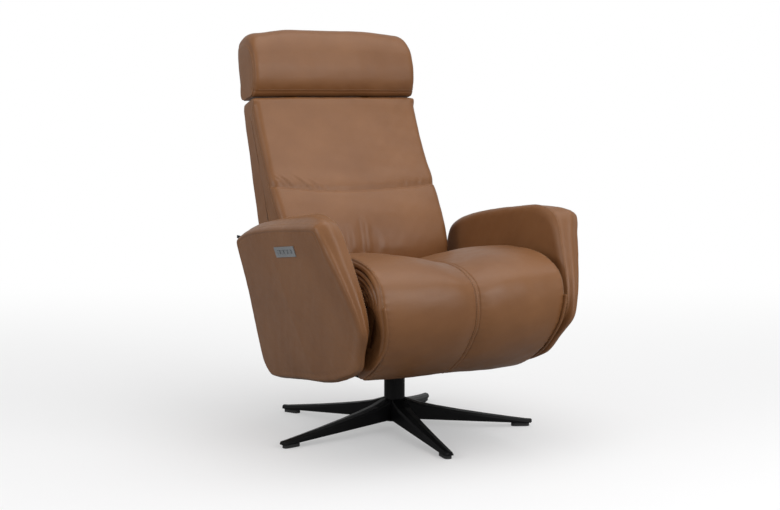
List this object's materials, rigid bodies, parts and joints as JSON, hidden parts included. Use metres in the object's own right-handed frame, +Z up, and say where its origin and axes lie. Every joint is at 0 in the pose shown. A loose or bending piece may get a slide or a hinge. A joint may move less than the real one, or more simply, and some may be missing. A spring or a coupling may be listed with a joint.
{
  "type": "star base swivel recliner",
  "caption": "Power swivel recliner with a puffy padded back, hinged headrest, curved side arms and a fold-out leg rest on a black star base.",
  "frame": {"origin": "middle of the outer box, on the floor", "axes": "+Z up, -Y the way the sitter faces, +X the sitter's left"},
  "size_m": [0.7628, 0.9298, 1.0774],
  "materials": {
    "leather": "satin",
    "black_metal": "satin",
    "zinc_steel": "satin",
    "nylon": "matte",
    "glide_plastic": "matte",
    "plywood": "matte",
    "black_lining": "matte",
    "motor_housing": "matte",
    "panel_silver": "satin",
    "key_plastic": "matte"
  },
  "bodies": {
    "base": {"star_base": "black_metal", "floor_glide_1": "glide_plastic", "floor_glide_2": "glide_plastic", "floor_glide_3": "glide_plastic", "floor_glide_4": "glide_plastic", "floor_glide_5": "glide_plastic", "column_tube": "black_metal", "lower_bush": "nylon", "upper_bush": "nylon", "thrust_washer": "zinc_steel"},
    "chassis": {"seat_cushion": "leather", "front_crease_roll": "leather", "arm_left": "leather", "arm_right": "leather", "rear_panel": "leather", "swivel_plate": "black_metal", "cross_rail_front": "black_metal", "cross_rail_rear": "black_metal", "front_rail": "black_metal", "actuator_fork": "black_metal", "swivel_spindle": "zinc_steel", "spindle_retainer": "zinc_steel", "plate_bolt_1": "zinc_steel", "plate_bolt_2": "zinc_steel", "plate_bolt_3": "zinc_steel", "plate_bolt_4": "zinc_steel", "legrest_hinge_rod_left": "zinc_steel", "legrest_hinge_rod_right": "zinc_steel", "arm_bolt_left_front": "zinc_steel", "arm_bolt_left_rear": "zinc_steel", "arm_bolt_right_front": "zinc_steel", "arm_bolt_right_rear": "zinc_steel", "zip_pull": "zinc_steel", "side_board_left": "plywood", "side_board_right": "plywood", "seat_deck": "plywood", "arm_block_left": "plywood", "arm_block_right": "plywood", "underseat_cover": "black_lining", "legrest_gearmotor": "motor_housing", "power_box": "motor_housing", "control_panel": "panel_silver"},
    "legrest": {"legrest_pad": "leather", "legrest_board": "plywood", "legrest_leaf_left": "black_metal", "legrest_leaf_right": "black_metal"},
    "legrest_drive": {"legrest_drive_shaft": "black_metal"},
    "legrest_links": {"legrest_link_left": "black_metal", "legrest_link_right": "black_metal"},
    "back": {"back_cushion": "leather", "back_shell": "leather", "back_frame": "black_metal"},
    "back_motor": {"back_actuator_body": "motor_housing"},
    "back_rod": {"back_actuator_rod": "zinc_steel"},
    "headrest": {"headrest_cushion": "leather", "headrest_rod": "zinc_steel"},
    "key_1": {"panel_key_1": "key_plastic"},
    "key_2": {"panel_key_2": "key_plastic"},
    "key_3": {"panel_key_3": "key_plastic"},
    "key_4": {"panel_key_4": "key_plastic"}
  },
  "joints": [
    {"name": "swivel", "type": "hinge", "parent": "base", "child": "chassis", "pos_m": [0, -0.02108, 0.21], "axis": [0, 0, 1], "continuous": true},
    {"name": "legrest_swing", "type": "hinge", "parent": "chassis", "child": "legrest", "pos_m": [0, -0.42108, 0.423], "axis": [-1, 0, 0], "range_deg": [0, 100], "deforming": ["front_crease_roll"]},
    {"name": "legrest_drive_turn", "type": "hinge", "parent": "chassis", "child": "legrest_drive", "pos_m": [0, -0.12108, 0.338], "axis": [-1, 0, 0], "range_deg": [0, 100]},
    {"name": "legrest_link_turn", "type": "hinge", "parent": "legrest_drive", "child": "legrest_links", "pos_m": [0, -0.07629, 0.29258], "axis": [-1, 0, 0], "range_deg": [-100, 0]},
    {"name": "back_recline", "type": "hinge", "parent": "chassis", "child": "back", "pos_m": [0, 0.21092, 0.365], "axis": [-1, 0, 0], "range_deg": [0, 30]},
    {"name": "back_motor_tilt", "type": "hinge", "parent": "chassis", "child": "back_motor", "pos_m": [0, -0.13308, 0.306], "axis": [1, 0, 0], "range_deg": [0, 2]},
    {"name": "back_rod_slide", "type": "slide", "parent": "back_motor", "child": "back_rod", "axis": [0, 0.9996, 0.0287], "range_m": [-0.0245, 0]},
    {"name": "headrest_tilt", "type": "hinge", "parent": "back", "child": "headrest", "pos_m": [0, 0.37193, 0.91394], "axis": [1, 0, 0], "range_deg": [0, 28]},
    {"name": "key_press_1", "type": "slide", "parent": "chassis", "child": "key_1", "axis": [0.9597, 0, 0.2812], "range_m": [0, 0.0008], "stiffness_N_per_m": 600},
    {"name": "key_press_2", "type": "slide", "parent": "chassis", "child": "key_2", "axis": [0.9597, 0, 0.2812], "range_m": [0, 0.0008], "stiffness_N_per_m": 600},
    {"name": "key_press_3", "type": "slide", "parent": "chassis", "child": "key_3", "axis": [0.9597, 0, 0.2812], "range_m": [0, 0.0008], "stiffness_N_per_m": 600},
    {"name": "key_press_4", "type": "slide", "parent": "chassis", "child": "key_4", "axis": [0.9597, 0, 0.2812], "range_m": [0, 0.0008], "stiffness_N_per_m": 600}
  ],
  "couplings": [
    {"joint": "legrest_drive_turn", "follows": "legrest_swing", "ratio": 1},
    {"joint": "legrest_link_turn", "follows": "legrest_swing", "ratio": -1},
    {"joint": "back_motor_tilt", "follows": "back_recline", "ratio": 0.0565},
    {"joint": "back_rod_slide", "follows": "back_recline", "m_per_rad": -0.0455}
  ]
}
